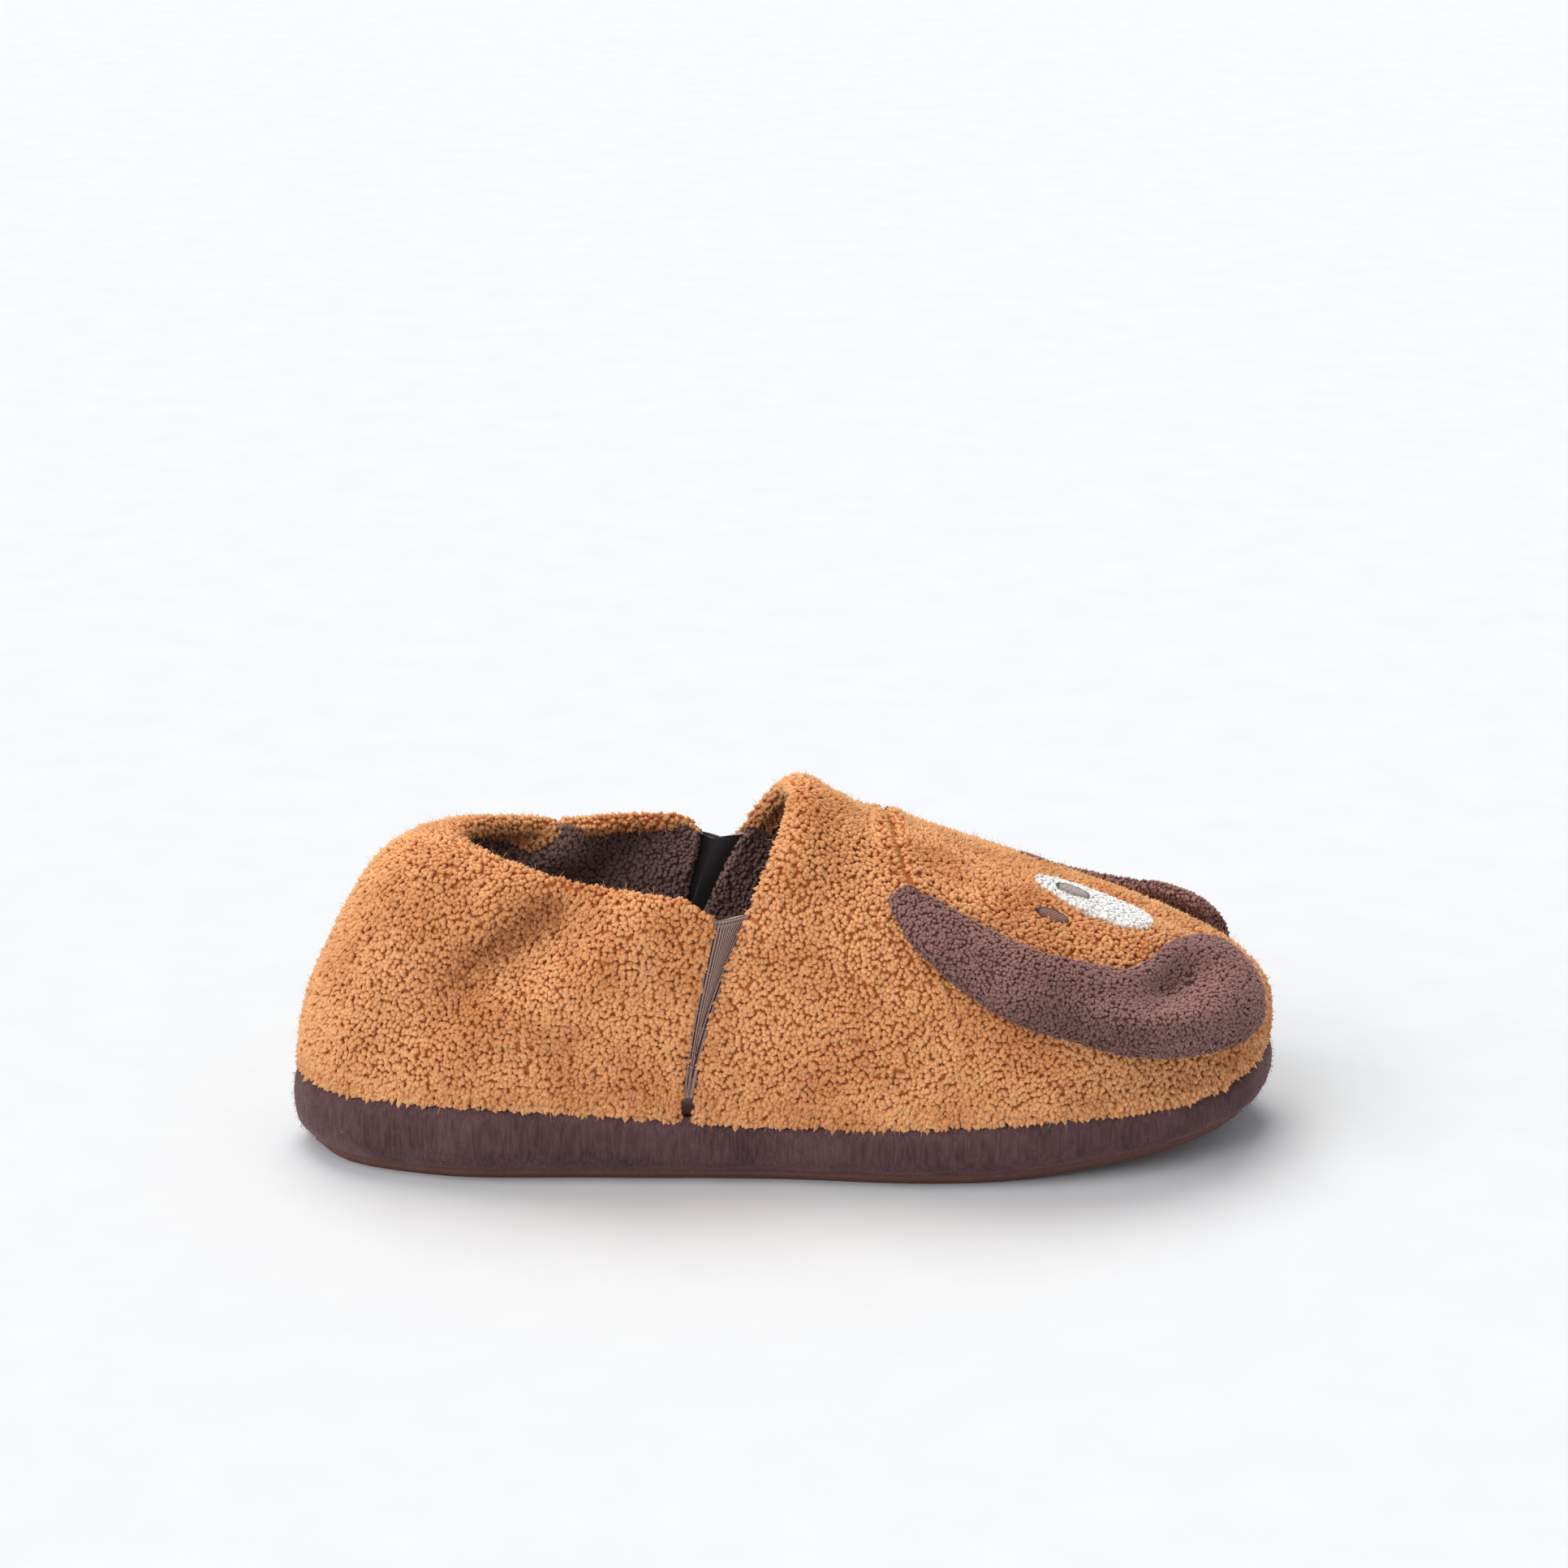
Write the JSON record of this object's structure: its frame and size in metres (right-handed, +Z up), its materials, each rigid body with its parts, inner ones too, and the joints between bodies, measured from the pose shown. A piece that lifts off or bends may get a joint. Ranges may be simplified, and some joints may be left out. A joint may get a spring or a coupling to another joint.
{
  "type": "animal slipper",
  "caption": "Child's plush slipper with a floppy-eared dog's face on the toe, a padded sole and elastic gores at the collar.",
  "frame": {"origin": "on the floor, at the middle of the sole's length and on the line from the back of the heel, where the sole rests flat", "axes": "+X from the heel to the toe, +Y to the inner side of the foot, +Z up"},
  "size_m": [0.2, 0.0803, 0.0734],
  "materials": {
    "brown_outsole": "matt textured outsole",
    "cocoa_short_plush": "short-nap plush",
    "cocoa_lining": "fleece lining",
    "caramel_plush": "coral fleece plush",
    "cocoa_elastic": "ribbed knitted elastic",
    "cocoa_plush": "coral fleece plush",
    "white_plush": "soft white pile",
    "dark_embroidery": "satin-stitch embroidery"
  },
  "bodies": {
    "root": {"outsole": "brown_outsole", "padded_sole": "cocoa_short_plush", "insole": "cocoa_lining", "upper": "caramel_plush", "elastic_gore_outer": "cocoa_elastic", "elastic_gore_inner": "cocoa_elastic", "ear_outer": "cocoa_plush", "ear_inner": "cocoa_plush", "muzzle": "white_plush", "nose": "dark_embroidery", "eye_outer": "dark_embroidery", "eye_inner": "dark_embroidery"}
  },
  "joints": []
}
